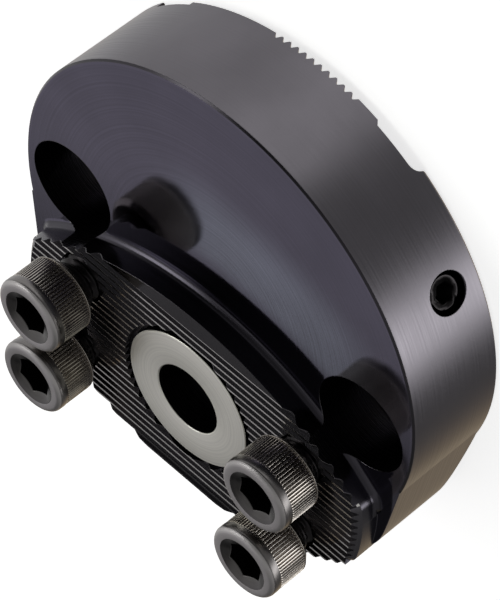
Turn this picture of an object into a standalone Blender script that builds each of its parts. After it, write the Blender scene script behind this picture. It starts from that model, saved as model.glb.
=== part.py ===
# Modular tool adapter: a round steel disc with an eccentric oval boss on its
# turned face. The boss carries a straight-toothed coupling, a bright coolant
# bush and four cap screws. The back has a narrower toothed band between two
# channels. Origin on the disc's axis at the rearmost plane, +Z to the front,
# X along the boss.
import math

import bmesh
import bpy
import numpy as np
from mathutils import Matrix, Vector

mm = 0.001

# Disc
disc_radius = 40 * mm
face_z = 17.7 * mm
rim_break = 0.3 * mm
back_break = 0.4 * mm

# Oval boss, measured from the coupling's centre
coupling_to_rim = 18.5 * mm
coupling_y = coupling_to_rim - disc_radius
crest_z = 22.05 * mm
boss_end_radius = 35.4 * mm
boss_half_width = 20.05 * mm
boss_side_radius = 52 * mm
boss_corner_radius = 2.5 * mm
boss_foot_fillet = 1.2 * mm

# The part of the boss that stands out past the disc
ear_back_z = 0.8 * mm
ear_cone_z = 1.0 * mm
ear_cone_gap = 0.15 * mm
ear_cone_slope = 0.95

# Front teeth, straight along X
tooth_pitch = 1.5 * mm
tooth_depth = 0.8 * mm
tooth_crest = 0.32 * mm
tooth_root = 0.22 * mm
first_tooth_y = -5.0 * mm
land_drop = 0.0 * mm

# Coolant bush and the recess that it sits in
bush_flange_radius = 12.35 * mm
bush_bore_radius = 6.2 * mm
bush_stem_radius = 8.2 * mm
bush_flange_thickness = 1.6 * mm
bush_length = 7.0 * mm
bush_below_crest = 0.15 * mm
bush_seat_gap = 0.3 * mm
bush_chamfer = 0.25 * mm
recess_extra = 0.95 * mm
recess_floor_below_crest = 1.2 * mm

# Clamp screws
screw_to_boss_end = 12.24 * mm
screw_x = boss_end_radius - screw_to_boss_end
screw_dy = 8.1 * mm
screw_radius = 4.0 * mm
screw_hole_clearance = 0.35 * mm
screw_hole_floor_z = 3.0 * mm
screw_length = 19.0 * mm
head_radius = 6.4 * mm
head_height = 8.0 * mm
head_front_rounding = 0.9 * mm
head_back_chamfer = 0.45 * mm
head_front_z = 32.6 * mm
head_offsets = (0.7 * mm, -0.3 * mm, -0.6 * mm, 0.3 * mm)
head_key = 6.0 * mm
head_key_depth = 4.2 * mm
head_sink_radius = 4.55 * mm
head_sink_depth = 0.75 * mm
screw_tip_chamfer = 0.7 * mm

# Mounting holes with counterbores
counterbore_radius = 8.25 * mm
counterbore_rim_wall = 1.75 * mm
mount_x = disc_radius - counterbore_rim_wall - counterbore_radius
mount_y = -1.7 * mm
counterbore_floor_z = 7.0 * mm
mount_hole_radius = 5.5 * mm

# Radial set screw
lock_angle = math.radians(33.3)
lock_z = 6.2 * mm
lock_hole_radius = 3.3 * mm
lock_hole_depth = 11.0 * mm
lock_radius = 3.0 * mm
lock_length = 8.0 * mm
lock_sunk = 0.9 * mm
lock_key = 3.0 * mm
lock_key_depth = 3.0 * mm
lock_mouth_chamfer = 0.35 * mm

# Back coupling, straight along Y
band_z = 1.1 * mm
channel_z = 1.75 * mm
left_channel = (-29.6 * mm, -23.1 * mm)
right_channel = (13.8 * mm, 20.0 * mm)
right_channel_radius = 1.75 * mm
back_teeth = (-6.8 * mm, 10.1 * mm)
back_pitch = 1.5 * mm
back_depth = 0.75 * mm
back_crest = 0.3 * mm
back_root = 0.2 * mm
seal_radius = 9.5 * mm
seal_floor_z = 3.2 * mm

over = 3 * mm
around = 144


def clear_scene():
    for item in list(bpy.data.objects):
        bpy.data.objects.remove(item, do_unlink=True)
    for mesh in list(bpy.data.meshes):
        bpy.data.meshes.remove(mesh)


def new_collection(name, hidden=False):
    made = bpy.data.collections.new(name)
    bpy.context.scene.collection.children.link(made)
    made.hide_render = hidden
    return made


clear_scene()
parts = new_collection("modular_tool_adapter")
cutters = new_collection("cutters", hidden=True)


def material(name, colour, metallic, roughness):
    made = bpy.data.materials.new(name)
    made.use_nodes = True
    shader = made.node_tree.nodes["Principled BSDF"]
    shader.inputs["Base Color"].default_value = (*colour, 1.0)
    shader.inputs["Metallic"].default_value = metallic
    shader.inputs["Roughness"].default_value = roughness
    made.diffuse_color = (*colour, 1.0)
    return made


def mesh_object(name, points, faces, collection, look=None):
    """A closed mesh object with its faces turned outwards."""
    mesh = bpy.data.meshes.new(name)
    mesh.from_pydata([tuple(map(float, p)) for p in points], [], faces)
    worker = bmesh.new()
    worker.from_mesh(mesh)
    bmesh.ops.recalc_face_normals(worker, faces=worker.faces)
    worker.to_mesh(mesh)
    worker.free()
    made = bpy.data.objects.new(name, mesh)
    collection.objects.link(made)
    if look:
        mesh.materials.append(look)
    if collection is cutters:
        made.hide_render = True
        made.display_type = "WIRE"
    return made


def prism(name, outline, axis, low, high, collection, look=None):
    """The outline, a list of 2-D points, pushed from low to high along X, Y or Z."""
    places = {"X": (1, 2, 0), "Y": (0, 2, 1), "Z": (0, 1, 2)}[axis]
    points = []
    for level in (low, high):
        for pair in outline:
            point = [0.0, 0.0, 0.0]
            point[places[0]], point[places[1]], point[places[2]] = pair[0], pair[1], level
            points.append(point)
    count = len(outline)
    faces = [list(range(count))[::-1], list(range(count, 2 * count))]
    for i in range(count):
        j = (i + 1) % count
        faces.append([i, j, count + j, count + i])
    return mesh_object(name, points, faces, collection, look)


def turned(name, profile, collection, look=None, segments=around):
    """A body of revolution about its own Z: the profile of (radius, z) points under a Screw modifier.
    A profile that leaves out the axis is closed into a loop."""
    points = [(r, 0.0, z) for r, z in profile]
    edges = [(i, i + 1) for i in range(len(points) - 1)]
    if profile[0][0] > 0:
        edges.append((len(points) - 1, 0))
    mesh = bpy.data.meshes.new(name)
    mesh.from_pydata(points, edges, [])
    made = bpy.data.objects.new(name, mesh)
    collection.objects.link(made)
    if look:
        mesh.materials.append(look)
    screw = made.modifiers.new("turn", "SCREW")
    screw.axis = "Z"
    screw.steps = segments
    screw.render_steps = segments
    screw.use_merge_vertices = True
    screw.merge_threshold = 0.00001
    screw.use_smooth_shade = False
    if collection is cutters:
        made.hide_render = True
        made.display_type = "WIRE"
    return made


def drill(name, x, y, low, high, radius, segments=64):
    """A round cutter along Z between two heights."""
    angles = (np.arange(segments) + 0.37) * 2 * math.pi / segments
    outline = np.stack([x + radius * np.cos(angles), y + radius * np.sin(angles)], 1)
    return prism(name, outline, "Z", low, high, cutters)


def combine(target, other, how):
    step = target.modifiers.new(other.name, "BOOLEAN")
    step.operation = how
    step.solver = "EXACT"
    step.object = other


def boss_outline():
    """Points and outward normals of the boss seen from the front, anticlockwise. Two side
    arcs and two end arcs about the coupling's centre meet in four small corner arcs."""
    shift = boss_side_radius - boss_half_width
    inner_end = boss_end_radius - boss_corner_radius
    inner_side = boss_side_radius - boss_corner_radius
    corner_y = (inner_side**2 - inner_end**2 - shift**2) / (2 * shift)
    corner_x = math.sqrt(inner_end**2 - corner_y**2)
    end_angle = math.atan2(corner_y, corner_x)
    side_angle = math.atan2(corner_y + shift, corner_x)
    quarter = []
    for t in np.linspace(0, end_angle, 9)[:-1]:
        quarter.append((boss_end_radius * math.cos(t), boss_end_radius * math.sin(t), t))
    for t in np.linspace(end_angle, side_angle, 8)[:-1]:
        x = corner_x + boss_corner_radius * math.cos(t)
        y = corner_y + boss_corner_radius * math.sin(t)
        quarter.append((x, y, t))
    for t in np.linspace(side_angle, math.pi / 2, 19):
        x = boss_side_radius * math.cos(t)
        y = boss_side_radius * math.sin(t) - shift
        quarter.append((x, y, t))
    half = quarter + [(-x, y, math.pi - t) for x, y, t in quarter[-2::-1]]
    ring = half + [(-x, -y, t + math.pi) for x, y, t in half[1:-1]]
    points = np.array([(x, y + coupling_y) for x, y, t in ring])
    normals = np.array([(math.cos(t), math.sin(t)) for x, y, t in ring])
    return points, normals


def face_cutter():
    """Takes away what lies in front of the turned face all round the boss, and leaves the
    fillet at the boss's foot: an annular solid whose inner wall is the boss's wall."""
    outline, normals = boss_outline()
    top = crest_z + over
    rings = [(outline, top)]
    for t in np.linspace(0, math.pi / 2, 6):
        offset = boss_foot_fillet * (1 - math.cos(t))
        height = face_z + boss_foot_fillet * (1 - math.sin(t))
        rings.append((outline + normals * offset, height))
    centre = np.array([0.0, coupling_y])
    away = outline - centre
    away = away / np.linalg.norm(away, axis=1)[:, None]
    outer = centre + away * (disc_radius - coupling_y + over)
    rings += [(outer, face_z), (outer, top)]
    points = np.concatenate([np.column_stack([flat, np.full(len(flat), z)]) for flat, z in rings])
    count, faces = len(outline), []
    for k in range(len(rings)):
        m = (k + 1) % len(rings)
        for i in range(count):
            j = (i + 1) % count
            faces.append([k * count + i, k * count + j, m * count + j, m * count + i])
    return mesh_object("face_cutter", points, faces, cutters)


def boss_ear():
    """The crescent of the boss that lies outside the disc, from behind the face to the crests."""
    outline, normals = boss_outline()
    inside = np.hypot(outline[:, 0], outline[:, 1]) < disc_radius
    start = next(i for i in range(len(outline)) if inside[i - 1] and not inside[i])
    order = [(start - 1 + k) % len(outline) for k in range(len(outline))]
    run = [order[0]]
    for i in order[1:]:
        run.append(i)
        if inside[i]:
            break
    outer = [outline[i] for i in run]
    ends = []
    for a, b in ((outer[0], outer[1]), (outer[-1], outer[-2])):
        # The point where this side of the outline crosses the disc's rim.
        step = b - a
        grow = float(step @ step)
        half = float(a @ step)
        rest = float(a @ a) - disc_radius**2
        ends.append(a + step * (-half + math.sqrt(half**2 - grow * rest)) / grow)
    outer[0], outer[-1] = ends[0], ends[1]
    # Its inner wall is buried in the disc.
    inner = [point * (disc_radius - 2 * mm) / np.linalg.norm(point) for point in outer[::-1]]
    return prism("boss_ear", outer + inner, "Z", ear_back_z, crest_z + over, cutters)


def ear_cone():
    """Turned relief behind the ear: the ear grows outwards from the disc towards the front."""
    outline, normals = boss_outline()
    low = disc_radius + ear_cone_gap
    reach = float(np.hypot(outline[:, 0], outline[:, 1]).max()) + over - low
    profile = [
        (low, ear_cone_z),
        (low + reach, ear_cone_z + reach * ear_cone_slope),
        (low + reach, -over),
        (low, -over),
    ]
    return turned("ear_cone", profile, cutters)


def tooth_line(first, last, pitch, depth, crest, root, level):
    """Zigzag from first to last: flat crests at level, grooves of that depth below it.
    A negative depth puts the grooves above the level."""
    side = (pitch - crest - root) / 2
    count = int(abs(last - first) / pitch + 1e-6)
    way = math.copysign(1.0, last - first)
    line = []
    for k in range(count):
        at = first + way * k * pitch
        line.append((at, level))
        line.append((at + way * side, level - depth))
        line.append((at + way * (side + root), level - depth))
        line.append((at + way * (2 * side + root), level))
    return line


def front_teeth_cutter():
    low = coupling_y - boss_half_width - over
    line = [(disc_radius + over, crest_z + 2 * over), (disc_radius + over, crest_z - land_drop)]
    line += tooth_line(first_tooth_y, low, tooth_pitch, tooth_depth, tooth_crest, tooth_root, crest_z)
    line += [(low - 2 * over, crest_z), (low - 2 * over, crest_z + 2 * over)]
    return prism("front_teeth_cutter", line, "X", -disc_radius - over, disc_radius + over, cutters)


def back_cutter():
    """Everything that is milled out of the back: two channels, and between them a band that
    is set back and carries the teeth."""
    line = [(left_channel[0], -over), (left_channel[0], channel_z)]
    line += [(left_channel[1], channel_z), (left_channel[1], band_z)]
    line += tooth_line(back_teeth[0], back_teeth[1], back_pitch, -back_depth, back_crest, back_root, band_z)
    line += [(right_channel[0] - 0.6 * mm, band_z), (right_channel[0], channel_z)]
    for t in np.linspace(0, math.pi / 2, 7):
        x = right_channel[1] + right_channel_radius * math.sin(t)
        line.append((x, channel_z - right_channel_radius * (1 - math.cos(t))))
    line.append((right_channel[1] + right_channel_radius, -over))
    reach = disc_radius + over
    return prism("back_cutter", line, "Y", -reach, reach, cutters)


def body():
    disc = [
        (0.0, crest_z + over),
        (disc_radius, crest_z + over),
        (disc_radius, back_break),
        (disc_radius - back_break, 0.0),
        (0.0, 0.0),
    ]
    made = turned("adapter_body", disc, parts, steel)
    combine(made, face_cutter(), "DIFFERENCE")
    break_profile = [
        (disc_radius - rim_break - 0.5 * mm, face_z + 0.5 * mm),
        (disc_radius + 0.5 * mm, face_z + 0.5 * mm),
        (disc_radius + 0.5 * mm, face_z - rim_break - 0.5 * mm),
    ]
    combine(made, turned("rim_break_cutter", break_profile, cutters), "DIFFERENCE")
    combine(made, boss_ear(), "UNION")
    combine(made, ear_cone(), "DIFFERENCE")
    combine(made, front_teeth_cutter(), "DIFFERENCE")
    combine(made, back_cutter(), "DIFFERENCE")
    recess_radius = bush_flange_radius + recess_extra
    floor = crest_z - recess_floor_below_crest
    seat = crest_z - bush_below_crest - bush_flange_thickness - bush_seat_gap
    combine(made, drill("recess_cutter", 0, coupling_y, floor, crest_z + over, recess_radius, 96), "DIFFERENCE")
    flange_hole = bush_flange_radius + bush_seat_gap
    combine(made, drill("flange_seat_cutter", 0, coupling_y, seat, crest_z + over, flange_hole, 96), "DIFFERENCE")
    stem_floor = crest_z - bush_below_crest - bush_length - bush_seat_gap
    stem_hole = bush_stem_radius + bush_seat_gap
    combine(made, drill("stem_seat_cutter", 0, coupling_y, stem_floor, crest_z + over, stem_hole), "DIFFERENCE")
    combine(made, drill("coolant_bore_cutter", 0, coupling_y, -over, crest_z + over, bush_bore_radius), "DIFFERENCE")
    combine(made, drill("seal_cutter", 0, coupling_y, -over, seal_floor_z, seal_radius), "DIFFERENCE")
    for n, (x, y) in enumerate(screw_places(), 1):
        hole = screw_radius + screw_hole_clearance
        cutter = drill("screw_hole_cutter_%d" % n, x, y, screw_hole_floor_z, crest_z + over, hole, 40)
        combine(made, cutter, "DIFFERENCE")
    for side, x in (("left", -mount_x), ("right", mount_x)):
        bore = drill(side + "_counterbore", x, mount_y, counterbore_floor_z, crest_z + over, counterbore_radius, 72)
        combine(made, bore, "DIFFERENCE")
        through = drill(side + "_mount_hole", x, mount_y, -over, crest_z + over, mount_hole_radius, 56)
        combine(made, through, "DIFFERENCE")
    lock = turned(
        "lock_hole_cutter",
        [
            (0.0, over),
            (lock_hole_radius + lock_mouth_chamfer, over),
            (lock_hole_radius + lock_mouth_chamfer, 0.2 * mm),
            (lock_hole_radius, 0.2 * mm - lock_mouth_chamfer),
            (lock_hole_radius, -lock_hole_depth),
            (0.0, -lock_hole_depth),
        ],
        cutters,
        segments=40,
    )
    lock.matrix_world = lock_frame(disc_radius)
    combine(made, lock, "DIFFERENCE")
    return made


def screw_places():
    """The four clamp screws, left pair first, upper one of each pair first."""
    places = []
    for x in (-screw_x, screw_x):
        for dy in (screw_dy, -screw_dy):
            places.append((x, coupling_y + dy))
    return places


def lock_frame(radius):
    """Frame of the radial hole: origin on its axis at that radius, +Z pointing outwards."""
    out = Vector((math.cos(lock_angle), math.sin(lock_angle), 0.0))
    turn = Vector((0.0, 0.0, 1.0)).rotation_difference(out).to_matrix().to_4x4()
    return Matrix.Translation(out * radius + Vector((0.0, 0.0, lock_z))) @ turn


def hexagon(across_flats):
    corner = across_flats / math.sqrt(3)
    turns = [math.radians(60 * k + 30) for k in range(6)]
    return [(corner * math.cos(t), corner * math.sin(t)) for t in turns]


def coolant_bush():
    """Flanged ring, its origin on the bore's axis at its bright front face."""
    back = -bush_flange_thickness
    profile = [
        (bush_bore_radius, -bush_length),
        (bush_bore_radius, -bush_chamfer),
        (bush_bore_radius + bush_chamfer, 0.0),
        (bush_flange_radius - bush_chamfer, 0.0),
        (bush_flange_radius, -bush_chamfer),
        (bush_flange_radius, back),
        (bush_stem_radius, back),
        (bush_stem_radius, -bush_length),
    ]
    made = turned("coolant_bush", profile, parts, bright, 96)
    made.location = (0.0, coupling_y, crest_z - bush_below_crest)
    return made


def clamp_screw(n, x, y, offset):
    """Cap screw, its origin on its axis at the underside of its head."""
    r, h, e = head_radius, head_height, head_front_rounding
    profile = [(0.0, h)]
    for t in np.linspace(0, math.pi / 2, 5):
        profile.append((r - e + e * math.sin(t), h - e + e * math.cos(t)))
    profile += [
        (r, head_back_chamfer),
        (r - head_back_chamfer, 0.0),
        (screw_radius, 0.0),
        (screw_radius, -screw_length + screw_tip_chamfer),
        (screw_radius - screw_tip_chamfer, -screw_length),
        (0.0, -screw_length),
    ]
    made = turned("clamp_screw_%d" % n, profile, parts, oxide, 64)
    socket = prism("socket_cutter_%d" % n, hexagon(head_key), "Z", h - head_key_depth, h + over, cutters)
    sink = turned(
        "sink_cutter_%d" % n,
        [(0.0, h + over), (head_sink_radius, h + over), (head_sink_radius, h), (head_key / 2, h - head_sink_depth),
         (0.0, h - head_sink_depth)],
        cutters,
        segments=48,
    )
    for cutter in (socket, sink):
        cutter.parent = made
        combine(made, cutter, "DIFFERENCE")
    made.location = (x, y, head_front_z + offset - head_height)
    return made


def lock_screw():
    """Set screw, its origin on its axis at its outer end, +Z outwards."""
    chamfer = 0.5 * mm
    profile = [
        (0.0, 0.0),
        (lock_radius - chamfer, 0.0),
        (lock_radius, -chamfer),
        (lock_radius, -lock_length + 1.0 * mm),
        (lock_radius - 1.0 * mm, -lock_length),
        (0.0, -lock_length),
    ]
    made = turned("lock_screw", profile, parts, oxide, 40)
    socket = prism("lock_socket_cutter", hexagon(lock_key), "Z", -lock_key_depth, over, cutters)
    socket.parent = made
    combine(made, socket, "DIFFERENCE")
    made.matrix_world = lock_frame(disc_radius - lock_sunk)
    return made


steel = material("black_oxide_steel", (0.055, 0.05, 0.055), 0.9, 0.4)
oxide = material("black_oxide_screw", (0.05, 0.047, 0.047), 0.85, 0.42)
bright = material("ground_steel", (0.42, 0.42, 0.39), 0.9, 0.35)

body()
coolant_bush()
for number, ((sx, sy), lift) in enumerate(zip(screw_places(), head_offsets), 1):
    clamp_screw(number, sx, sy, lift)
lock_screw()
bpy.context.view_layer.update()
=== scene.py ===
# Modular tool adapter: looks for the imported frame.
import math

import bmesh
import bpy
import numpy as np
from mathutils import Matrix, Vector


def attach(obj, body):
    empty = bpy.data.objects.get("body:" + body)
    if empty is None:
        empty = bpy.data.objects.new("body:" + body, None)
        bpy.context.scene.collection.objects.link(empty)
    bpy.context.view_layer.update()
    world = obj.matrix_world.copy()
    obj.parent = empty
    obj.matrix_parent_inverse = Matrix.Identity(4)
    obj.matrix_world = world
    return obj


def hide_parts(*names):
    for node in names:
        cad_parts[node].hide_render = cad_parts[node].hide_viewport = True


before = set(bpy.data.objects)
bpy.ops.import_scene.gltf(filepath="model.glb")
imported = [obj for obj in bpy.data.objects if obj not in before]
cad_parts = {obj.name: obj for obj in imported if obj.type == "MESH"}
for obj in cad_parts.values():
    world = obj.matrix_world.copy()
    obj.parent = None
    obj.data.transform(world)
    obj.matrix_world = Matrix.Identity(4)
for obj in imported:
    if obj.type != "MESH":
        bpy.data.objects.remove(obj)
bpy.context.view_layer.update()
scene = bpy.context.scene
scene.view_settings.view_transform = "Standard"
for leftover in [item for item in bpy.data.objects if item.type in ("CAMERA", "LIGHT")]:
    bpy.data.objects.remove(leftover)
mm = 0.001


def hexColour(text):
    # sRGB hex to linear RGBA
    parts = np.array([int(text[i:i + 2], 16) for i in (1, 3, 5)]) / 255
    linear = np.where(parts <= 0.04045, parts / 12.92, ((parts + 0.055) / 1.055) ** 2.4)
    return (*linear.tolist(), 1.0)


def addNode(tree, kind, inputs=None, stops=None, **settings):
    # One node with its settings; an input is a value or the socket that feeds it
    node = tree.nodes.new(kind)
    for name, value in settings.items():
        setattr(node, name, value)
    for name, value in (inputs or {}).items():
        if isinstance(value, bpy.types.NodeSocket):
            tree.links.new(value, node.inputs[name])
        else:
            node.inputs[name].default_value = value
    if stops:
        line = node.color_ramp.elements
        while len(line) < len(stops):
            line.new(0.5)
        for element, (place, colour) in zip(line, stops):
            element.position = place
            element.color = colour
    return node


def newMaterial(name):
    # An empty node material and its tree
    made = bpy.data.materials.new(name)
    made.use_nodes = True
    made.node_tree.nodes.clear()
    return made, made.node_tree


# Studio: world, floor and camera

studio = {
    "strength": 4.0,                        # the ramps hold a quarter of the light, so that they stay under 1
    "overhead": 0.45,                       # light from straight above
    "climb": (-0.20, 0.10),                 # sine of elevation where the low cards give way to the high
    "crown": (0.84, 0.97),                  # and where those give way to the light overhead
    "cardEdge": (-0.120, 0.543, 0.832),     # normal of the plane through the slanted edge of the card behind
    "cardBlend": (0.002, 0.013),
    "stripRise": (0.55, 0.63),              # a small bright card: sine of its elevation from here
    "stripFall": (0.74, 0.82),              # to here, and share of a full turn
    "stripStart": (0.868, 0.900),           # from here
    "stripStop": (0.955, 0.985),            # to here
    # Azimuth in degrees and level or RGB there: below the horizon, above it, and above it but under
    # the slanted edge of the card behind
    "low": [(-180, 0.20), (-150, 0.20), (-110, (0.18, 0.155, 0.13)), (-88, (0.145, 0.117, 0.078)),
            (-74, (0.10, 0.08, 0.06)), (-58, 0.05), (-30, 0.06), (-20, 0.35), (-13, 0.90), (0, 1.0),
            (8, 0.60), (16, 0.22), (26, 0.08), (60, 0.085), (72, 0.10), (84, 0.33), (108, 0.31),
            (130, 0.24), (180, 0.20)],
    "high": [(-180, 0.20), (-150, 0.17), (-128, (0.130, 0.126, 0.134)), (-112, (0.122, 0.118, 0.126)),
             (-98, 0.03), (-60, 0.05), (0, 0.12), (60, 0.05), (122, 0.012), (142, 0.03), (158, 0.16),
             (180, 0.20)],
    "under": [(-180, 0.20), (-150, 0.20), (-138, 0.18), (-128, 0.06), (-112, 0.040), (-90, 0.012),
              (-60, 0.05), (0, 0.12), (60, 0.05), (122, 0.012), (142, 0.03), (158, 0.16), (180, 0.20)],
    "floorGlow": 0.72,
    "floorSize": 3.0,
    "floorZ": -0.3 * mm,
    "cameraPlace": (0.2220, 0.4237, 0.2671),
    "cameraRight": (0.7091, 0.0548, -0.7029),
    "cameraDown": (0.5779, -0.6164, 0.5349),
    "cameraForward": (-0.4040, -0.7856, -0.4687),
    "focalPixels": 3684.6,
    "framePixels": 600,                     # the long side of the frame
    "sensorWidth": 36.0,
}


def greyStops(pairs):
    # (azimuth in degrees, level or RGB) to ramp stops from -180 to 180
    stops = []
    for azimuth, level in pairs:
        colour = level if isinstance(level, tuple) else (level, level, level)
        stops.append(((azimuth + 180) / 360, (*colour, 1.0)))
    return stops


def smoothShare(tree, steps, share=1.0):
    # The product of smooth steps: each is a source, where it begins and ends, and its two values
    for source, low, high, start, end in steps:
        step = addNode(tree, "ShaderNodeMapRange", {0: source, 1: low, 2: high, 3: start, 4: end},
                       interpolation_type="SMOOTHSTEP")
        product = addNode(tree, "ShaderNodeMath", {0: step.outputs[0], 1: share}, operation="MULTIPLY")
        share = product.outputs[0]
    return share


def buildWorld():
    # Soft studio by direction: below the horizon pale cards with one narrow bright box and
    # dark gaps between them, above it a darker ceiling. Straight views of it are white.
    s = studio
    world = bpy.data.worlds.new("softStudio")
    scene.world = world
    world.use_nodes = True
    tree = world.node_tree
    tree.nodes.clear()
    toward = addNode(tree, "ShaderNodeTexCoord").outputs["Generated"]
    split = addNode(tree, "ShaderNodeSeparateXYZ", {0: toward})
    height = split.outputs[2]
    turn = addNode(tree, "ShaderNodeMath", {0: split.outputs[1], 1: split.outputs[0]}, operation="ARCTAN2")
    around = addNode(tree, "ShaderNodeMath", {0: turn.outputs[0], 1: 0.5 / math.pi, 2: 0.5},
                     operation="MULTIPLY_ADD").outputs[0]
    low, high, under = (addNode(tree, "ShaderNodeValToRGB", {0: around}, stops=greyStops(s[name])).outputs[0]
                        for name in ("low", "high", "under"))
    side = addNode(tree, "ShaderNodeVectorMath", {0: toward, 1: s["cardEdge"]}, operation="DOT_PRODUCT")
    card = smoothShare(tree, [(side.outputs["Value"], *s["cardBlend"], 0.0, 1.0)])
    climb = smoothShare(tree, [(height, *s["climb"], 0.0, 1.0)])
    crown = smoothShare(tree, [(height, *s["crown"], 0.0, 1.0)])
    # The small card is high on the left, and draws the bright line along the boss's foot
    strip = smoothShare(tree, [(height, *s["stripRise"], 0.0, 1.0), (height, *s["stripFall"], 1.0, 0.0),
                               (around, *s["stripStart"], 0.0, 1.0), (around, *s["stripStop"], 1.0, 0.0)])
    top = s["overhead"] / s["strength"]
    above = addNode(tree, "ShaderNodeMix", {0: card, 6: under, 7: high}, data_type="RGBA").outputs[2]
    light = low
    for share, other in ((climb, above), (strip, (1.0, 1.0, 1.0, 1.0)), (crown, (top, top, top, 1.0))):
        light = addNode(tree, "ShaderNodeMix", {0: share, 6: light, 7: other}, data_type="RGBA").outputs[2]
    glow = addNode(tree, "ShaderNodeBackground", {0: light, 1: s["strength"]})
    white = addNode(tree, "ShaderNodeBackground", {0: (1, 1, 1, 1), 1: 1.0})
    path = addNode(tree, "ShaderNodeLightPath")
    pick = addNode(tree, "ShaderNodeMixShader",
                   {0: path.outputs["Is Camera Ray"], 1: glow.outputs[0], 2: white.outputs[0]})
    addNode(tree, "ShaderNodeOutputWorld", {0: pick.outputs[0]})


def buildFloor():
    # Plain pale paper under the adapter's back: a square plane
    half, level = studio["floorSize"] / 2, studio["floorZ"]
    mesh = bpy.data.meshes.new("paperFloor")
    mesh.from_pydata([(-half, -half, level), (half, -half, level), (half, half, level), (-half, half, level)],
                     [], [(0, 1, 2, 3)])
    floor = bpy.data.objects.new("paperFloor", mesh)
    scene.collection.objects.link(floor)
    made, tree = newMaterial("matte white paper")   # matte, so it shows only a faint soft shadow
    plain = addNode(tree, "ShaderNodeBsdfDiffuse", {0: hexColour("#f4f4f2")})
    path = addNode(tree, "ShaderNodeLightPath")
    lift = addNode(tree, "ShaderNodeMath", {0: path.outputs["Is Camera Ray"], 1: studio["floorGlow"]},
                   operation="MULTIPLY")
    glow = addNode(tree, "ShaderNodeEmission", {0: (1, 1, 1, 1), 1: lift.outputs[0]})
    both = addNode(tree, "ShaderNodeAddShader", {0: plain.outputs[0], 1: glow.outputs[0]})
    addNode(tree, "ShaderNodeOutputMaterial", {0: both.outputs[0]})
    mesh.materials.append(made)
    floor.visible_glossy = False                    # the steel shows the studio's cards instead


def buildCamera():
    # The photograph's own view, with the long side of the frame as sensor width
    data = bpy.data.cameras.new("productView")
    data.sensor_width = studio["sensorWidth"]
    data.lens = studio["focalPixels"] / studio["framePixels"] * studio["sensorWidth"]
    data.clip_start = 0.01
    camera = bpy.data.objects.new("productView", data)
    scene.collection.objects.link(camera)
    right, down, ahead = (Vector(studio[key]) for key in ("cameraRight", "cameraDown", "cameraForward"))
    turn = Matrix((right, -down, -ahead)).transposed().to_4x4()
    camera.matrix_world = Matrix.Translation(Vector(studio["cameraPlace"])) @ turn
    scene.camera = camera


buildWorld()
buildFloor()
buildCamera()
print("studio ready")


# Steels

steelLooks = {
    "oxide": "#68656a",
    "oxideFace": "#5b5866",
    "oxideWall": "#46444a",
    "oxideTooth": "#5c5a5e",
    # pale: a painted highlight on the crests
    "crestHighlight": "#e6e3df",
    # dark: painted shade in holes and on the face's edge break
    "boreShade": "#3d3b3f",
    "oxideLand": "#403e41",
    "screwKnurl": "#b5afa8",
    "screwBand": "#747170",
    "screwFront": "#b2afae",
    "screwSink": "#5a5857",
    # nearly black: painted shade
    "screwThreadShade": "#2c2a2b",
    "filmTint": "#848995",      # painted highlight: a paler bluish band beside the boss
    "wornEdge": "#8d8a88",
    "rimBlur": 0.34,
    "faceBlur": 0.06,
    "wallBlur": 0.22,
    "toothBlur": 0.24,
    "cloudSize": 14 * mm,       # patches where the oxide took a little lighter or darker
    "cloudTone": 0.10,
    "blurSpread": 0.15,         # share by which the blur varies from mark to mark
    "grainDepth": 0.006 * mm,
    "wearRange": (0.80, 0.97),  # cosine of the edge's turn where wear is full, and where it begins
}


def edgeWear(tree, reach, low, high):
    # The rounded normal, and wear that is 0 on flat ground and 1 where that normal has turned far
    # from the true one, as it does within reach of an edge
    rounded = addNode(tree, "ShaderNodeBevel", {0: reach}, samples=4)
    flat = addNode(tree, "ShaderNodeNewGeometry")
    same = addNode(tree, "ShaderNodeVectorMath", {0: rounded.outputs[0], 1: flat.outputs["Normal"]},
                   operation="DOT_PRODUCT")
    worn = addNode(tree, "ShaderNodeMapRange", {0: same.outputs["Value"], 1: high, 2: low, 3: 0.0, 4: 1.0})
    return rounded, worn


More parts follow.
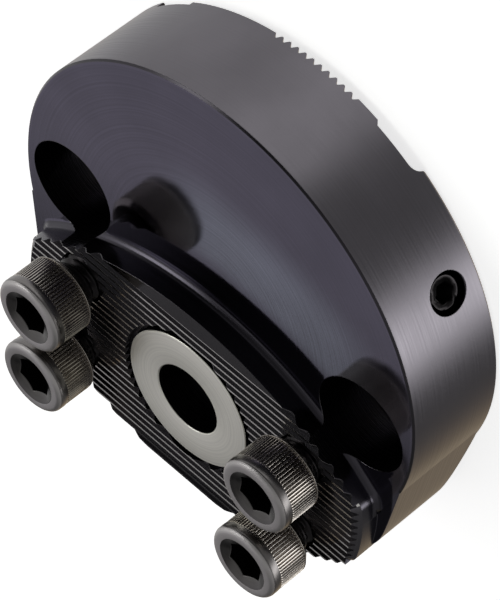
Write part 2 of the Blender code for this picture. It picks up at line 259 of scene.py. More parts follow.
def oxideSteel(name, colour, blur, marks, markPitch, markDepth, stretch=0.0, grain=0.10, wear=0.5,
               edge=0.18 * mm, lineTone=0.04, film=None):
    # Black oxide on tool steel: a thin dark skin over machined metal, so it mirrors the studio
    # dimly and keeps the tool marks. marks: "rings" round the disc's axis, "lines" along X, "upright"
    # turning lines round the rim, or "none", whose bump is grain alone. markPitch, markDepth and
    # grain are in millimetres.
    made, tree = newMaterial(name)
    place = addNode(tree, "ShaderNodeTexCoord").outputs["Object"]
    split = addNode(tree, "ShaderNodeSeparateXYZ", {0: place})
    cloud = addNode(tree, "ShaderNodeTexNoise",
                    {"Vector": place, "Scale": 1 / steelLooks["cloudSize"], "Detail": 3.0})
    fleck = addNode(tree, "ShaderNodeTexNoise", {"Vector": place, "Scale": 1 / (grain * mm), "Detail": 2.0})
    if marks == "rings":
        flat = addNode(tree, "ShaderNodeCombineXYZ", {0: split.outputs[0], 1: split.outputs[1], 2: 0.0})
        reach = addNode(tree, "ShaderNodeVectorMath", {0: flat.outputs[0]}, operation="LENGTH")
        across = reach.outputs["Value"]
    elif marks == "lines":
        across = split.outputs[1]
    else:
        across = split.outputs[2]
    count = addNode(tree, "ShaderNodeMath", {0: across, 1: 1 / (markPitch * mm)}, operation="MULTIPLY")
    line = addNode(tree, "ShaderNodeTexNoise", {"W": count.outputs[0], "Scale": 1.0, "Detail": 3.0},
                   noise_dimensions="1D")
    rounded, worn = edgeWear(tree, edge, *steelLooks["wearRange"])
    patchy, uneven = steelLooks["cloudTone"], steelLooks["blurSpread"]
    spread = addNode(tree, "ShaderNodeMapRange",
                     {0: cloud.outputs[0], 1: 0.3, 2: 0.7, 3: 1 - patchy, 4: 1 + patchy})
    base = hexColour(colour)[:3]
    # A painted highlight mixed into the base colour, where one is given
    if film:
        base = film(tree, split, base)
    lined = addNode(tree, "ShaderNodeMapRange",
                    {0: line.outputs[0], 1: 0.35, 2: 0.65, 3: 1 - lineTone, 4: 1 + lineTone})
    both = addNode(tree, "ShaderNodeMath", {0: spread.outputs[0], 1: lined.outputs[0]}, operation="MULTIPLY")
    toned = addNode(tree, "ShaderNodeVectorMath", {0: base, "Scale": both.outputs[0]}, operation="SCALE")
    share = addNode(tree, "ShaderNodeMath", {0: worn.outputs[0], 1: wear}, operation="MULTIPLY")
    paint = addNode(tree, "ShaderNodeMix",
                    {0: share.outputs[0], 6: toned.outputs[0], 7: hexColour(steelLooks["wornEdge"])},
                    data_type="RGBA")
    least, most = blur * (1 - uneven), blur * (1 + uneven)
    lineRough = addNode(tree, "ShaderNodeMapRange", {0: line.outputs[0], 1: 0.35, 2: 0.65, 3: least, 4: most})
    height = line.outputs[0] if marks != "none" else fleck.outputs[0]
    bumpLine = addNode(tree, "ShaderNodeBump", {"Strength": 0.5, "Distance": markDepth * mm, "Height": height,
                                                "Normal": rounded.outputs[0]})
    bump = addNode(tree, "ShaderNodeBump", {"Strength": 0.25, "Distance": steelLooks["grainDepth"],
                                            "Height": fleck.outputs[0], "Normal": bumpLine.outputs[0]})
    shader = addNode(tree, "ShaderNodeBsdfPrincipled", {
        "Base Color": paint.outputs[2], "Metallic": 1.0, "Roughness": lineRough.outputs[0],
        "Normal": bump.outputs[0]})
    if stretch:
        # Blur runs across the turning marks, so the highlight is drawn out along the axis.
        tangent = addNode(tree, "ShaderNodeTangent", direction_type="RADIAL", axis="Z")
        tree.links.new(tangent.outputs[0], shader.inputs["Tangent"])
        shader.inputs["Anisotropic"].default_value = stretch
        shader.inputs["Anisotropic Rotation"].default_value = 0.25
    addNode(tree, "ShaderNodeOutputMaterial", {0: shader.outputs[0]})
    return made


filmSizes = {
    "centreY": -53.45 * mm,                     # centre of the boss's long side arc
    "inner": (58 * mm, 63 * mm, 0.0, 1.0),      # each line: from, to, and the painted highlight's share at either end
    "outer": (68 * mm, 79 * mm, 1.0, 0.0),
    "left": (-16 * mm, 0.0, 0.0, 1.0),
    "right": (20 * mm, 38 * mm, 1.0, 0.0),
    "strength": 0.75,
}


def paintedHighlightBand(tree, split, base):
    # The painted highlight: a paler bluish band beside the boss, which swells and fades with the distance
    # from the centre of the long side arc, and with X
    s = filmSizes
    lower = addNode(tree, "ShaderNodeMath", {0: split.outputs[1], 1: -s["centreY"]}, operation="ADD")
    flat = addNode(tree, "ShaderNodeCombineXYZ", {0: split.outputs[0], 1: lower.outputs[0], 2: 0.0})
    reach = addNode(tree, "ShaderNodeVectorMath", {0: flat.outputs[0]}, operation="LENGTH").outputs["Value"]
    share = smoothShare(tree, [(reach, *s["inner"]), (reach, *s["outer"]), (split.outputs[0], *s["left"]),
                               (split.outputs[0], *s["right"])], s["strength"])
    return addNode(tree, "ShaderNodeMix", {0: share, 6: (*base, 1.0), 7: hexColour(steelLooks["filmTint"])},
                   data_type="RGBA").outputs[2]


# Real feed marks lie about 0.1 to 0.2 mm apart, too fine to show here, so they are drawn coarser.
# The face has fine rings under a dark mirror, with a painted highlight beside the boss
turnedFace = oxideSteel("black oxide steel, face turned", steelLooks["oxideFace"], steelLooks["faceBlur"],
                        "rings", 0.40, 0.0016, stretch=0.3, wear=0.2, lineTone=0.10, film=paintedHighlightBand)
# Lines round the rim, which draw its highlight out into a soft upright band
turnedRim = oxideSteel("black oxide steel, rim turned", steelLooks["oxide"], steelLooks["rimBlur"],
                       "upright", 0.30, 0.003, stretch=0.5, wear=0.5)
# Darker walls that blur what they mirror
milledSteel = oxideSteel("black oxide steel, milled", steelLooks["oxideWall"], steelLooks["wallBlur"],
                         "upright", 0.35, 0.0015, wear=0.25)
# Flanks too small for marks: an even grey sheen
toothSteel = oxideSteel("black oxide steel, milled teeth", steelLooks["oxideTooth"], steelLooks["toothBlur"],
                        "none", 0.2, 0.002, wear=0.3, edge=0.05 * mm)
# Crest tips in pale steel, a painted highlight, so each is a thin pale line
crestHighlightSteel = oxideSteel("black oxide steel, crests with painted highlight", steelLooks["crestHighlight"], 0.16,
                        "lines", 0.2, 0.001, wear=0.3, edge=0.05 * mm)
# Nearly black, a painted shade in holes, on hidden faces and on the face's edge break, with a lighter worn
# mouth
boreShadeSteel = oxideSteel("black oxide steel, painted shade in bores", steelLooks["boreShade"], 0.26,
                        "none", 0.2, 0.002, wear=0.5, edge=0.12 * mm)
# Smooth and dark, so it shows the screw heads clearly
landSteel = oxideSteel("black oxide steel, polished land", steelLooks["oxideLand"], 0.10,
                       "none", 0.2, 0.001, wear=0.2, edge=0.05 * mm)
# Rolled knurl: rubbed teeth that glint above dark grooves
boltSteel = oxideSteel("black oxide screw steel, knurled", steelLooks["screwKnurl"], 0.20,
                       "none", 0.2, 0.003, wear=0.2, edge=0.08 * mm)
# Headed band between knurl and front, with a dull soft sheen
boltBand = oxideSteel("black oxide screw steel, headed", steelLooks["screwBand"], 0.30,
                      "none", 0.3, 0.006, grain=0.25, wear=0.3, edge=0.08 * mm)
# Forged front: the palest part of the head, matte and slightly grainy
boltFront = oxideSteel("black oxide screw steel, forged", steelLooks["screwFront"], 0.46,
                       "none", 0.3, 0.030, grain=0.25, wear=0.4, edge=0.08 * mm)
# Pressed cone into the socket, smooth with a worn lip
boltSink = oxideSteel("black oxide screw steel, pressed sink", steelLooks["screwSink"], 0.20,
                      "none", 0.2, 0.003, wear=0.5, edge=0.08 * mm)
# Nearly black: painted shade on the thread, the socket and the underside, and on the set screw
threadShadeSteel = oxideSteel("black screw steel in painted shade", steelLooks["screwThreadShade"], 0.34,
                         "none", 0.2, 0.003, wear=0.3, edge=0.05 * mm)
print("black oxide steels ready")


# Adapter body

bodyLooks = {
    "faceZ": 17.7 * mm,
    "discRadius": 40.0 * mm,
    "crestZ": 22.05 * mm,
    "bossEnd": 35.4 * mm,
    "bossHalfWidth": 20.05 * mm,
    "bossSide": 52.0 * mm,
    "bossCorner": 2.5 * mm,
    "footFillet": 1.2 * mm,
    "endChamfer": 1.15 * mm,
    "chamferSweep": 64,             # degrees either way from the boss's end
    "chamferSteps": 60,
    "chamferEase": 0.8,             # share of the sweep's angle that the cutter takes round a corner arc
    "toothReach": 16.6 * mm,        # from the coupling's axis to the first and last teeth
    "highlightCorner": (31 * mm, 7 * mm),      # past this X and this far above the axis the chamfer takes the pale crest steel: a painted highlight
    "coneFoot": 1.0 * mm,
    "coneStart": 40.15 * mm,
    "coneSlope": 0.95,
    "earX": (38.70, 2.50, 1.35),    # in mm: start, straight amount and curved amount
    "earY": (-10.0, 17.0),          # in mm: start and length
    "earRoot": 31 * mm,
    "earSteps": 28,
    # X, Y and radius in mm: mounting holes and their counterbores, the steps of the coupling's bore,
    # and the four screw holes
    "uprightHoles": ((-30.0, -1.7, 8.25), (30.0, -1.7, 8.25), (-30.0, -1.7, 5.5), (30.0, -1.7, 5.5),
                     (0.0, -21.5, 13.3), (0.0, -21.5, 12.65), (0.0, -21.5, 8.5), (0.0, -21.5, 6.2),
                     (0.0, -21.5, 9.5), (-23.16, -13.4, 4.35), (-23.16, -29.6, 4.35),
                     (23.16, -13.4, 4.35), (23.16, -29.6, 4.35)),
    "lockAngle": 33.3,
    "lockZ": 6.2 * mm,
    "lockHole": 3.3 * mm,
    "holeNear": 0.04 * mm,          # how near to a hole's radius a point counts as its wall
    "lockNear": 0.5 * mm,
    "mergeGap": 0.002 * mm,
    "formAngle": 4,                 # degrees by which a face may differ from its form
    "cornerAngle": 14,              # and by which its corners may
    "flatShare": 0.9999,            # share of its normal along Z from which a face keeps its own
}
couplingY = -21.5 * mm


def unit(rows):
    # Each row scaled to length one
    return rows / np.maximum(np.linalg.norm(rows, axis=1), 1e-12)[:, None]


def cornerCentre():
    # Centre of a corner arc, seen from the coupling's axis. The arc touches the end arc and the side
    # arc from inside, so it lies one corner radius inside both. Also how far the side arc's own centre
    # lies past the axis
    s = bodyLooks
    shift = s["bossSide"] - s["bossHalfWidth"]
    innerEnd, innerSide = s["bossEnd"] - s["bossCorner"], s["bossSide"] - s["bossCorner"]
    cornerY = (innerSide ** 2 - innerEnd ** 2 - shift ** 2) / (2 * shift)
    return math.sqrt(innerEnd ** 2 - cornerY ** 2), cornerY, shift


def bossNormals(points):
    # Outward normals of the oval boss: about the coupling's centre by quadrant, the end arc, the
    # corner arc or the side arc, whichever the point's bearing from the corner's centre picks.
    # Also how far each point lies outside that outline
    s = bodyLooks
    x, y = np.abs(points[:, 0]), np.abs(points[:, 1] - couplingY)
    cornerX, cornerY, shift = cornerCentre()
    bearing = np.arctan2(y - cornerY, x - cornerX)
    onEnd = np.arctan2(y, x) < math.atan2(cornerY, cornerX)
    onSide = np.arctan2(y + shift, x) > math.atan2(cornerY + shift, cornerX)
    normal = np.stack([np.cos(bearing), np.sin(bearing)], 1)
    away = np.hypot(x - cornerX, y - cornerY) - s["bossCorner"]
    normal[onSide] = unit(np.stack([x, y + shift], 1))[onSide]
    away[onSide] = (np.hypot(x, y + shift) - s["bossSide"])[onSide]
    normal[onEnd] = unit(np.stack([x, y], 1))[onEnd]
    away[onEnd] = (np.hypot(x, y) - s["bossEnd"])[onEnd]
    normal[:, 0] *= np.sign(points[:, 0])
    normal[:, 1] *= np.sign(points[:, 1] - couplingY)
    return np.column_stack([normal, np.zeros(len(points))]), away


def formNormals(points):
    # The true normal of each curved form at every point: rim, edge breaks, boss wall, foot fillet,
    # relief cone, upright holes and the radial hole
    s = bodyLooks
    flat = points * np.array([1.0, 1.0, 0.0])
    radial = unit(flat)
    upward = np.array([0.0, 0.0, 1.0])
    wall, away = bossNormals(points)
    rise = np.clip((s["faceZ"] + s["footFillet"] - points[:, 2:]) / s["footFillet"], 0, 1)
    lean = np.clip((s["footFillet"] - away[:, None]) / s["footFillet"], 0, 1)
    forms = [radial, unit(radial + upward), unit(radial - upward), wall, unit(wall * lean + upward * rise),
             unit(radial * s["coneSlope"] - upward), unit(wall + upward)]
    for x, y, radius in s["uprightHoles"]:
        spoke = flat - np.array([x, y, 0.0]) * mm
        near = np.abs(np.linalg.norm(spoke, axis=1) - radius * mm) < s["holeNear"]
        forms.append(-unit(spoke) * near[:, None])
    turn = math.radians(s["lockAngle"])
    along = np.array([math.cos(turn), math.sin(turn), 0.0])
    spoke = points - np.array([0.0, 0.0, s["lockZ"]])
    spoke = spoke - (spoke @ along)[:, None] * along
    near = np.linalg.norm(spoke, axis=1) < s["lockHole"] + s["lockNear"]
    forms.append(-unit(spoke) * near[:, None])
    forms.append(unit(along - unit(spoke)) * near[:, None])
    return forms


def smoothByForm(mesh):
    # Each face takes the form whose normal agrees with its own at its centre and at its corners,
    # and its corners take that form's normals; a flat face keeps its own
    faces, corners = len(mesh.polygons), len(mesh.loops)
    centre, normal, point = np.zeros(faces * 3), np.zeros(faces * 3), np.zeros(len(mesh.vertices) * 3)
    total, vertex = np.zeros(faces, int), np.zeros(corners, int)
    mesh.polygons.foreach_get("center", centre)
    mesh.polygons.foreach_get("normal", normal)
    mesh.polygons.foreach_get("loop_total", total)
    mesh.vertices.foreach_get("co", point)
    mesh.loops.foreach_get("vertex_index", vertex)
    centre, normal, point = (item.reshape(-1, 3) for item in (centre, normal, point))
    owner = np.repeat(np.arange(faces), total)
    ends = point[vertex]
    chosen = normal[owner].copy()
    best = np.full(faces, math.cos(math.radians(bodyLooks["formAngle"])))
    loosest = math.cos(math.radians(bodyLooks["cornerAngle"]))
    for atCentre, atEnd in zip(formNormals(centre), formNormals(ends)):
        agree = np.sum(atCentre * normal, axis=1)
        worst = np.ones(faces)
        np.minimum.at(worst, owner, np.sum(atEnd * normal[owner], axis=1))
        better = (agree > best) & (worst > loosest)
        best[better] = agree[better]
        take = better[owner]
        chosen[take] = atEnd[take]
    flats = np.abs(normal[:, 2]) > bodyLooks["flatShare"]
    chosen[flats[owner]] = normal[flats][np.cumsum(flats)[owner[flats[owner]]] - 1]
    mesh.shade_smooth()
    mesh.normals_split_custom_set(chosen.tolist())


def chamferCutter(side):
    # A bar along one end of the boss whose inner face slopes at 45 degrees: it breaks the top edge
    # there, so that the teeth end on a clean chamfer. It follows the end arc and, past the corner's
    # bearing, the corner arc, with its angle eased to a share of the sweep's
    s = bodyLooks
    turn = np.radians(np.linspace(-s["chamferSweep"], s["chamferSweep"], s["chamferSteps"]))
    cornerX, cornerY = cornerCentre()[:2]
    path = np.stack([s["bossEnd"] * np.cos(turn), s["bossEnd"] * np.sin(turn)], 1)
    eased = turn * s["chamferEase"]
    corner = np.stack([cornerX + s["bossCorner"] * np.cos(eased),
                       np.sign(turn) * cornerY + s["bossCorner"] * np.sin(eased)], 1)
    path = np.where((np.abs(turn) > math.atan2(cornerY, cornerX))[:, None], corner, path)
    onBoss = np.column_stack([path[:, 0], path[:, 1] + couplingY, np.zeros(len(path))])
    normal = bossNormals(onBoss)[0][:, :2]
    drop, over, out, up = s["endChamfer"], 0.2 * mm, 1.5 * mm, 1.0 * mm
    rows = []
    for reach, height in ((-drop - over, over), (over, -drop - over), (out, -drop - over), (out, up),
                          (-drop - over, up)):
        flat = path + normal * reach
        level = np.full(len(flat), s["crestZ"] + height)
        rows.append(np.column_stack([flat[:, 0] * side, flat[:, 1] + couplingY, level]))
    return barMesh(np.array(rows))


def earShell(side):
    # The ledge outside each end of the boss: as t runs from 0 to 1, X falls from its start by the
    # straight amount times t and the curved amount times t to the eighth, and Y by the ledge's
    # length times t. Its top is level with the face, and its foot rises as the relief cone does
    s = bodyLooks
    share = np.linspace(0, 1, s["earSteps"])
    start, straight, curved = s["earX"]
    x = (start - straight * share - curved * share ** 8) * mm
    y = (s["earY"][0] - s["earY"][1] * share) * mm
    top = np.full(s["earSteps"], s["faceZ"])
    rows = [np.column_stack([np.full(s["earSteps"], s["earRoot"]), y, top]), np.column_stack([x, y, top])]
    for step in np.linspace(0, 1, 7):
        inner = x * (1 - step) + s["earRoot"] * step
        foot = s["coneFoot"] + np.maximum(np.hypot(inner, y) - s["coneStart"], 0.0) * s["coneSlope"]
        rows.append(np.column_stack([inner, y, foot + (0.03 * mm if step else 0.0)]))
    return barMesh(np.array(rows) * np.array([side, 1.0, 1.0]))


def barMesh(rows):
    # A closed bar: rows go round its section and columns along it, with both ends capped
    around, along = rows.shape[:2]
    index = np.arange(around * along).reshape(around, along)
    a, b = index, np.roll(index, -1, axis=0)
    faces = np.stack([a[:, :-1], a[:, 1:], b[:, 1:], b[:, :-1]], -1).reshape(-1, 4).tolist()
    faces += [index[:, 0].tolist(), index[::-1, -1].tolist()]
    mesh = bpy.data.meshes.new("bar")
    mesh.from_pydata(rows.reshape(-1, 3).tolist(), [], faces)
    work = bmesh.new()
    work.from_mesh(mesh)
    bmesh.ops.recalc_face_normals(work, faces=work.faces)
    work.to_mesh(mesh)
    work.free()
    return mesh


def joinCut(mesh, cutter, operation):
    # The mesh with or less the other one, by an exact Boolean that is applied at once
    body, tool = bpy.data.objects.new("cutBody", mesh), bpy.data.objects.new("cutTool", cutter)
    for item in (body, tool):
        scene.collection.objects.link(item)
    step = body.modifiers.new("cut", "BOOLEAN")
    step.operation, step.solver, step.object = operation, "EXACT", tool
    graph = bpy.context.evaluated_depsgraph_get()
    final = bpy.data.meshes.new_from_object(body.evaluated_get(graph), depsgraph=graph)
    for item in (body, tool):
        bpy.data.objects.remove(item)
    return final


def mergedMesh(node, name):
    # A copy of a CAD node's mesh with its loose triangles joined
    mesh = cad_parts[node].data.copy()
    mesh.name = name
    work = bmesh.new()
    work.from_mesh(mesh)
    bmesh.ops.remove_doubles(work, verts=work.verts, dist=bodyLooks["mergeGap"])
    work.to_mesh(mesh)
    work.free()
    mesh.materials.clear()
    return mesh


def setFinish(mesh, choose):
    # Material slots by a rule on every face's centre and normal
    count = len(mesh.polygons)
    centre, normal = np.zeros(count * 3), np.zeros(count * 3)
    mesh.polygons.foreach_get("center", centre)
    mesh.polygons.foreach_get("normal", normal)
    finish = choose(centre.reshape(-1, 3), normal.reshape(-1, 3))
    mesh.polygons.foreach_set("material_index", finish.astype(np.int32))
    mesh.update()


finishZones = {
    "near": 0.05 * mm,              # how near to its place a surface counts as lying there
    "rimNear": 0.4 * mm,
    "crestNear": 0.02 * mm,
    "toothBand": 1.0 * mm,          # under the crests
    "chamferBand": 1.3 * mm,        # under the crests
    "edgeBand": 0.6 * mm,           # in from the rim and down from the face
    "backBand": 2.0 * mm,           # up from the back
    "boredUnder": 17.0 * mm,        # everything lower than this in a hole is bored
    "wall": 0.02,                   # largest share of a wall's normal along Z, or of a tooth's along X
    "flat": 0.98,                   # smallest share of a flat's normal along Z, or of the rim's outward
    "askew": 0.05,                  # smallest share of the chamfer's normal along X
    "slopes": (0.6, 0.8),           # shares along Z of the chamfer's normal
    "breaks": (0.3, 0.9),           # and of the edge break's
    "downward": -0.3,               # largest share along Z of a back face's normal
}


def bodyFinish(centre, normal):
    # 0 milled walls, 1 turned face, 2 turned rim and ear walls, 3 teeth and chamfer, 4 crests
    # and the chamfer's bright corner, both pale as a painted highlight, 5 bores and the face's edge break,
    # both dark as painted shade, 6 the polished land outside the first and last teeth. A face is known by
    # where it lies and which way it looks, and a later rule wins
    s, z = bodyLooks, finishZones
    radius = np.hypot(centre[:, 0], centre[:, 1])
    height, rise, along = centre[:, 2], normal[:, 2], np.abs(normal[:, 0])
    fromAxis = centre[:, 1] - couplingY
    outward = (centre[:, 0] * normal[:, 0] + centre[:, 1] * normal[:, 1]) / radius
    wall, flat = np.abs(rise) < z["wall"], rise > z["flat"]
    under = height < s["faceZ"]
    face = flat & (np.abs(height - s["faceZ"]) < z["near"])
    rim = (outward > z["flat"]) & (np.abs(radius - s["discRadius"]) < z["rimNear"]) & under
    teeth = (height > s["crestZ"] - z["toothBand"]) & (along < z["wall"])
    back = (height < z["backBand"]) & (rise < z["downward"])
    crest = flat & (np.abs(height - s["crestZ"]) < z["crestNear"])
    edgeBreak = (rise > z["breaks"][0]) & (rise < z["breaks"][1]) & \
                (radius > s["discRadius"] - z["edgeBand"]) & (height > s["faceZ"] - z["edgeBand"])
    earWall = wall & under & (radius > s["discRadius"] + z["near"])
    land = crest & (np.abs(fromAxis) > s["toothReach"])
    chamfer = (rise > z["slopes"][0]) & (rise < z["slopes"][1]) & (along > z["askew"]) & \
              (height > s["crestZ"] - z["chamferBand"])
    # The chamfer at the boss's upper corners takes the pale crest steel: a painted highlight
    bright = chamfer & (np.abs(centre[:, 0]) > s["highlightCorner"][0]) & (fromAxis > s["highlightCorner"][1])
    rules = [(1, face), (2, rim), (3, teeth | back), (4, crest), (5, edgeBreak), (2, earWall), (6, land),
             (3, chamfer), (4, bright)]
    for x, y, size in s["uprightHoles"]:
        spoke = centre[:, :2] - np.array([x, y]) * mm
        inside = np.linalg.norm(spoke, axis=1) < size * mm + z["near"]
        inward = np.sum(spoke * normal[:, :2], axis=1) <= 0
        rules.append((5, inside & inward & (wall | (height < z["boredUnder"])) & (height > z["backBand"])))
    finish = np.zeros(len(centre), int)
    for number, where in rules:
        finish[where] = number
    return finish


def dressBody():
    # The CAD's own solid with the boss's ends chamfered and their ledges added, each face finished as
    # it was cut
    mesh = mergedMesh("adapter_body", "adapterBody")
    for side in (-1, 1):
        mesh = joinCut(mesh, chamferCutter(side), "DIFFERENCE")
        mesh = joinCut(mesh, earShell(side), "UNION")
    mesh.name = "adapterBody"
    mesh.materials.clear()
    smoothByForm(mesh)
    made = bpy.data.objects.new("adapterBody", mesh)
    scene.collection.objects.link(made)
    for look in (milledSteel, turnedFace, turnedRim, toothSteel, crestHighlightSteel, boreShadeSteel, landSteel):
        mesh.materials.append(look)
    setFinish(mesh, bodyFinish)
    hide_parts("adapter_body")
    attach(made, "root")


dressBody()
print("adapter body ready")


def gridMesh(name, rows, material, sharp=30.0):
    # rows is (row, column, xyz), closed round its columns; its first and last rows are poles, or
    # one and the same ring
    down, columns = rows.shape[:2]
    index = np.arange(down * columns).reshape(down, columns)
    a = index[:-1]
    b = np.roll(a, -1, axis=1)
    c = index[1:]
    d = np.roll(c, -1, axis=1)
    faces = np.stack([a, b, d, c], axis=-1).reshape(-1, 4)
    mesh = bpy.data.meshes.new(name)
    mesh.from_pydata(rows.reshape(-1, 3).tolist(), [], faces.tolist())
    work = bmesh.new()
    work.from_mesh(mesh)
    bmesh.ops.remove_doubles(work, verts=work.verts, dist=0.0005 * mm)
    bmesh.ops.recalc_face_normals(work, faces=work.faces)
    work.to_mesh(mesh)
    work.free()
    mesh.shade_smooth()
    mesh.set_sharp_from_angle(angle=math.radians(sharp))
    mesh.materials.append(material)
    return mesh


def turnedRows(profile, columns):
    # A profile of (radius, z) carried round the Z axis
    around = np.linspace(0, 2 * np.pi, columns, endpoint=False)
    radius, height = np.array(profile).T
    flatX = radius[:, None] * np.cos(around)
    flatY = radius[:, None] * np.sin(around)
    return np.stack([flatX, flatY, np.repeat(height[:, None], columns, axis=1)], axis=-1)


def quarterRound(radius, height, size, steps=6):
    # Points of a rounded outer corner that ends a cylinder of that radius at that height
    turn = np.linspace(0, np.pi / 2, steps)
    return [(radius - size + size * math.cos(t), height - size + size * math.sin(t)) for t in turn]


# Coolant bush

bushSizes = {
    "flange": 12.35 * mm,
    "bore": 6.2 * mm,
    "stem": 8.2 * mm,
    "thick": 1.6 * mm,
    "length": 7.0 * mm,
    "edge": 0.22 * mm,
    "backEdge": 0.1 * mm,
    "frontZ": 21.9 * mm,
    "columns": 144,
    "steel": "#f2f1e6",
    "blur": (0.34, 0.44),
    "tone": (0.93, 1.05),
    "grain": 0.4 * mm,
    "ringPitch": 0.35 * mm,         # coarser than the real feed, so that the rings show
    "ringDepth": 0.004 * mm,
}


def brightSteel():
    # Stainless steel, faced and left bare: pale and satin, with fine rings
    s = bushSizes
    made, tree = newMaterial("stainless steel, faced bright")
    place = addNode(tree, "ShaderNodeTexCoord").outputs["Object"]
    centred = addNode(tree, "ShaderNodeMapping", {"Vector": place, "Location": (0.0, -couplingY, 0.0)})
    split = addNode(tree, "ShaderNodeSeparateXYZ", {0: centred.outputs[0]})
    flat = addNode(tree, "ShaderNodeCombineXYZ", {0: split.outputs[0], 1: split.outputs[1], 2: 0.0})
    across = addNode(tree, "ShaderNodeVectorMath", {0: flat.outputs[0]}, operation="LENGTH")
    count = addNode(tree, "ShaderNodeMath", {0: across.outputs["Value"], 1: 1 / s["ringPitch"]},
                    operation="MULTIPLY")
    ring = addNode(tree, "ShaderNodeTexNoise", {"W": count.outputs[0], "Scale": 1.0, "Detail": 3.0},
                   noise_dimensions="1D")
    fleck = addNode(tree, "ShaderNodeTexNoise", {"Vector": place, "Scale": 1 / s["grain"], "Detail": 3.0})
    rough, tone = (addNode(tree, "ShaderNodeMapRange",
                           {0: noise.outputs[0], 1: 0.3, 2: 0.7, 3: s[name][0], 4: s[name][1]})
                   for noise, name in ((fleck, "blur"), (ring, "tone")))
    paint = addNode(tree, "ShaderNodeVectorMath",
                    {0: hexColour(s["steel"])[:3], "Scale": tone.outputs[0]}, operation="SCALE")
    bump = addNode(tree, "ShaderNodeBump",
                   {"Strength": 0.4, "Distance": s["ringDepth"], "Height": ring.outputs[0]})
    shader = addNode(tree, "ShaderNodeBsdfPrincipled", {
        "Base Color": paint.outputs[0], "Metallic": 1.0, "Roughness": rough.outputs[0],
        "Normal": bump.outputs[0]})
    addNode(tree, "ShaderNodeOutputMaterial", {0: shader.outputs[0]})
    return made


def buildBush():
    # Flanged ring turned about the coupling's axis: bore, bright front, flange edge, stem
    s = bushSizes
    inner = [(2 * s["bore"] - r, z) for r, z in quarterRound(s["bore"], 0.0, s["edge"])]
    outer = quarterRound(s["flange"], 0.0, s["edge"])[::-1]
    profile = [(s["bore"], -s["length"])] + inner + outer + [
        (s["flange"], -s["thick"] + s["backEdge"]), (s["flange"] - s["backEdge"], -s["thick"]),
        (s["stem"], -s["thick"]), (s["stem"], -s["length"]), (s["bore"], -s["length"])]
    rows = turnedRows(profile, s["columns"])
    rows += np.array([0.0, couplingY, s["frontZ"]])
    mesh = gridMesh("coolantBush", rows, brightSteel())
    # The bore and the faces other than the front take the dark bore steel: painted shade
    mesh.materials.append(boreShadeSteel)
    setFinish(mesh, lambda centre, normal: np.where(normal[:, 2] > 0.3, 0, 1))
    made = bpy.data.objects.new("coolantBush", mesh)
    scene.collection.objects.link(made)
    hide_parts("coolant_bush")
    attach(made, "root")


buildBush()
print("coolant bush ready")


# Clamp screws

screwSizes = {
    "columns": 432,                 # six for each knurl tooth
    "teeth": 72,
    "radius": 6.4 * mm,
    "height": 8.0 * mm,
    "frontRound": 0.9 * mm,
    "backChamfer": 0.85 * mm,
    "knurlInset": 0.05 * mm,
    "knurlTop": 6.1 * mm,
    "knurlRunOut": 0.35 * mm,
    "knurlFoot": 1.05 * mm,
    "knurlDepth": 0.34 * mm,
    "knurlPower": 1.4,
    "grooveDepth": 0.30 * mm,
    "sink": 4.55 * mm,
    "sinkSlope": 0.484,
    "key": 6.0 * mm,
    "keyDepth": 4.2 * mm,
    "keyEdge": 0.07 * mm,
    "keyDrill": (2.5 * mm, 0.9 * mm),       # radius and depth of the drill point under the socket
    "shank": 4.0 * mm,
    "length": 19.0 * mm,
    "pitch": 1.25 * mm,
    "threadDepth": 0.65 * mm,
    "threadGap": 0.04 * mm,
    "threadRows": 130,
    "threadColumns": 72,
    "neck": 1.2 * mm,
    "threadFade": 1.0 * mm,
    "root": 0.5 * mm,               # how far the shank starts inside the head
    "tip": 0.7 * mm,
    "tipTaper": 0.2,
    "screwX": 23.16 * mm,
    "screwDy": 8.1 * mm,
    "frontZ": 32.6 * mm,
    "lifts": (0.7 * mm, -0.3 * mm, -0.6 * mm, 0.3 * mm),
}


def headRows():
    # Rows from the socket's floor out over the front, down the side and in under the head. The
    # hexagon's radius is half its width over flats / cos of the angle from the nearest flat; the
    # knurl's radius dips between its teeth as 1 - |cos| of half the tooth's turn, to a power
    s = screwSizes
    around = np.linspace(0, 2 * np.pi, s["columns"], endpoint=False)
    sector = np.radians(60)
    hexagon = s["key"] / 2 / np.cos(np.mod(around + sector / 2, sector) - sector / 2)
    dip = s["knurlDepth"] * (1 - np.abs(np.cos(around * s["teeth"] / 2))) ** s["knurlPower"]
    radius, top, edge = s["radius"], s["height"], s["keyEdge"]
    floor, foot, back = top - s["keyDepth"], s["knurlFoot"], s["backChamfer"]
    knurl = radius - s["knurlInset"]
    groove = knurl - s["grooveDepth"]

    def sunk(r):
        # Height at that radius of the cone that leads into the socket
        return top - s["sinkSlope"] * (s["sink"] - r)

    profile = [(0.0, floor - s["keyDrill"][1]), (s["keyDrill"][0], floor), (hexagon, floor),
               (hexagon, sunk(hexagon) - edge), (hexagon + edge, sunk(hexagon + edge)),
               (s["sink"] - 0.06 * mm, sunk(s["sink"] - 0.06 * mm)), (s["sink"] + 0.05 * mm, top)]
    profile += quarterRound(radius, top, s["frontRound"], 8)[::-1]
    profile += [(radius, s["knurlTop"] + 0.12 * mm)]
    profile += [(knurl - share * dip, s["knurlTop"] - share * s["knurlRunOut"])
                for share in np.linspace(0, 1, 4)]
    profile += [(knurl - dip, foot + 0.15 * mm), (knurl - 0.05 * mm - dip, foot), (groove, foot - 0.04 * mm),
                (groove, back + 0.10 * mm), (radius - 0.12 * mm, back + 0.04 * mm),
                (radius - 0.08 * mm, back - 0.02 * mm), (radius - back + 0.05 * mm, 0.03 * mm),
                (radius - back - 0.05 * mm, 0.0), (0.0, 0.0)]
    reach, level = (np.array([np.broadcast_to(point[i], around.shape) for point in profile]) for i in (0, 1))
    return np.stack([reach * np.cos(around), reach * np.sin(around), level], axis=-1)


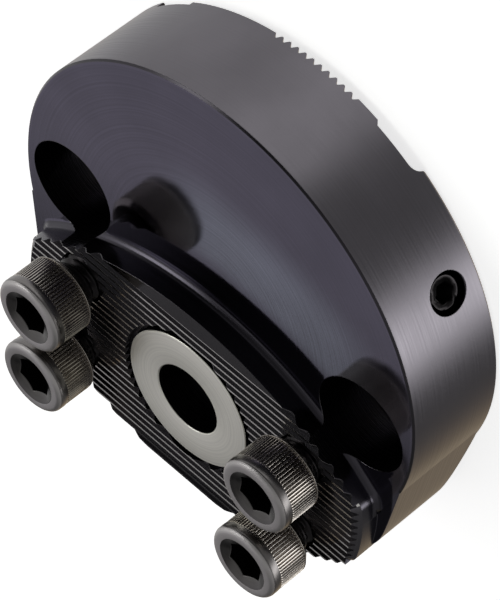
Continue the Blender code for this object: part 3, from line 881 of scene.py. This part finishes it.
def shankRows():
    # Threaded shank: the radius dips by a triangle wave of height over pitch minus turn, which fades
    # out at the neck, and the tip tapers to a closed end
    s = screwSizes
    columns = s["threadColumns"]
    around = np.linspace(0, 2 * np.pi, columns, endpoint=False)
    level = np.linspace(s["root"], -s["length"] + s["tip"], s["threadRows"])
    phase = level[:, None] / s["pitch"] - around[None, :] / (2 * np.pi)
    wave = np.abs(2 * np.mod(phase, 1.0) - 1)
    fade = np.clip((-s["neck"] - level) / s["threadFade"], 0, 1)[:, None]
    reach = s["shank"] - s["threadGap"] - s["threadDepth"] * wave * fade
    tip = np.linspace(0, 1, 4)[1:]
    pole = np.zeros((1, columns))
    reach = np.concatenate([pole, reach, reach[-1:] * (1 - s["tipTaper"] * tip[:, None]), pole])
    level = np.concatenate([[s["root"]], level, level[-1] - s["tip"] * tip, [-s["length"]]])
    height = np.repeat(level[:, None], columns, axis=1)
    return np.stack([reach * np.cos(around), reach * np.sin(around), height], axis=-1)


def joinedMesh(name, meshes):
    # Several meshes in one, with the first one's material
    work = bmesh.new()
    for part in meshes:
        work.from_mesh(part)
    mesh = bpy.data.meshes.new(name)
    work.to_mesh(mesh)
    work.free()
    mesh.materials.append(meshes[0].materials[0])
    return mesh


def screwFinish(centre, normal):
    # 0 the knurl, 1 the forged front, 2 the socket, the underside and the thread, dark as painted shade,
    # 3 the smooth band between front and knurl, 4 the cone that leads into the socket
    s = screwSizes
    reach, height = np.hypot(centre[:, 0], centre[:, 1]), centre[:, 2]
    facing = (height > s["height"] - 1.2 * mm) & (normal[:, 2] > 0.5)
    sink = facing & (reach < s["sink"])
    hidden = (height < 0.01 * mm) | ((reach < s["sink"] - 0.05 * mm) & ~sink)
    return np.select([sink, facing, hidden, height > s["knurlTop"] + 0.02 * mm], [4, 1, 2, 3], 0)


def buildScrews():
    # Four alike, each as far out as the photograph shows it, numbered from the left, and on each side
    # from the disc's middle
    s = screwSizes
    shank = gridMesh("shank", shankRows(), boltSteel, 60.0)
    head = gridMesh("head", headRows(), boltSteel, 30.0)
    places = [(side * s["screwX"], couplingY + up * s["screwDy"]) for side in (-1, 1) for up in (1, -1)]
    for number, ((x, y), lift) in enumerate(zip(places, s["lifts"]), 1):
        mesh = joinedMesh("clampScrew%d" % number, [head, shank])
        for look in (boltFront, threadShadeSteel, boltBand, boltSink):
            mesh.materials.append(look)
        setFinish(mesh, screwFinish)
        mesh.transform(Matrix.Translation((x, y, s["frontZ"] + lift - s["height"])))
        made = bpy.data.objects.new("clampScrew%d" % number, mesh)
        scene.collection.objects.link(made)
        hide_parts("clamp_screw_%d" % number)
        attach(made, "clamp_screw_%d" % number)


buildScrews()
print("clamp screws ready")


# Set screw in the rim

def dressLockScrew():
    # The CAD's own solid with its edges sharp past 30 degrees; normals are weighted by face area, so
    # large flats stay flat beside small rounds
    mesh = mergedMesh("lock_screw", "lockScrew")
    mesh.shade_smooth()
    mesh.set_sharp_from_angle(angle=math.radians(30))
    made = bpy.data.objects.new("lockScrew", mesh)
    scene.collection.objects.link(made)
    step = made.modifiers.new("even", "WEIGHTED_NORMAL")
    step.mode, step.weight, step.keep_sharp = "FACE_AREA", 100, True
    graph = bpy.context.evaluated_depsgraph_get()
    final = bpy.data.meshes.new_from_object(made.evaluated_get(graph), preserve_all_data_layers=True,
                                            depsgraph=graph)
    made.modifiers.clear()
    made.data = final
    # The set screw takes the dark thread steel: painted shade in its recess
    final.materials.append(threadShadeSteel)
    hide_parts("lock_screw")
    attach(made, "lock_screw")


dressLockScrew()
print("set screw ready")
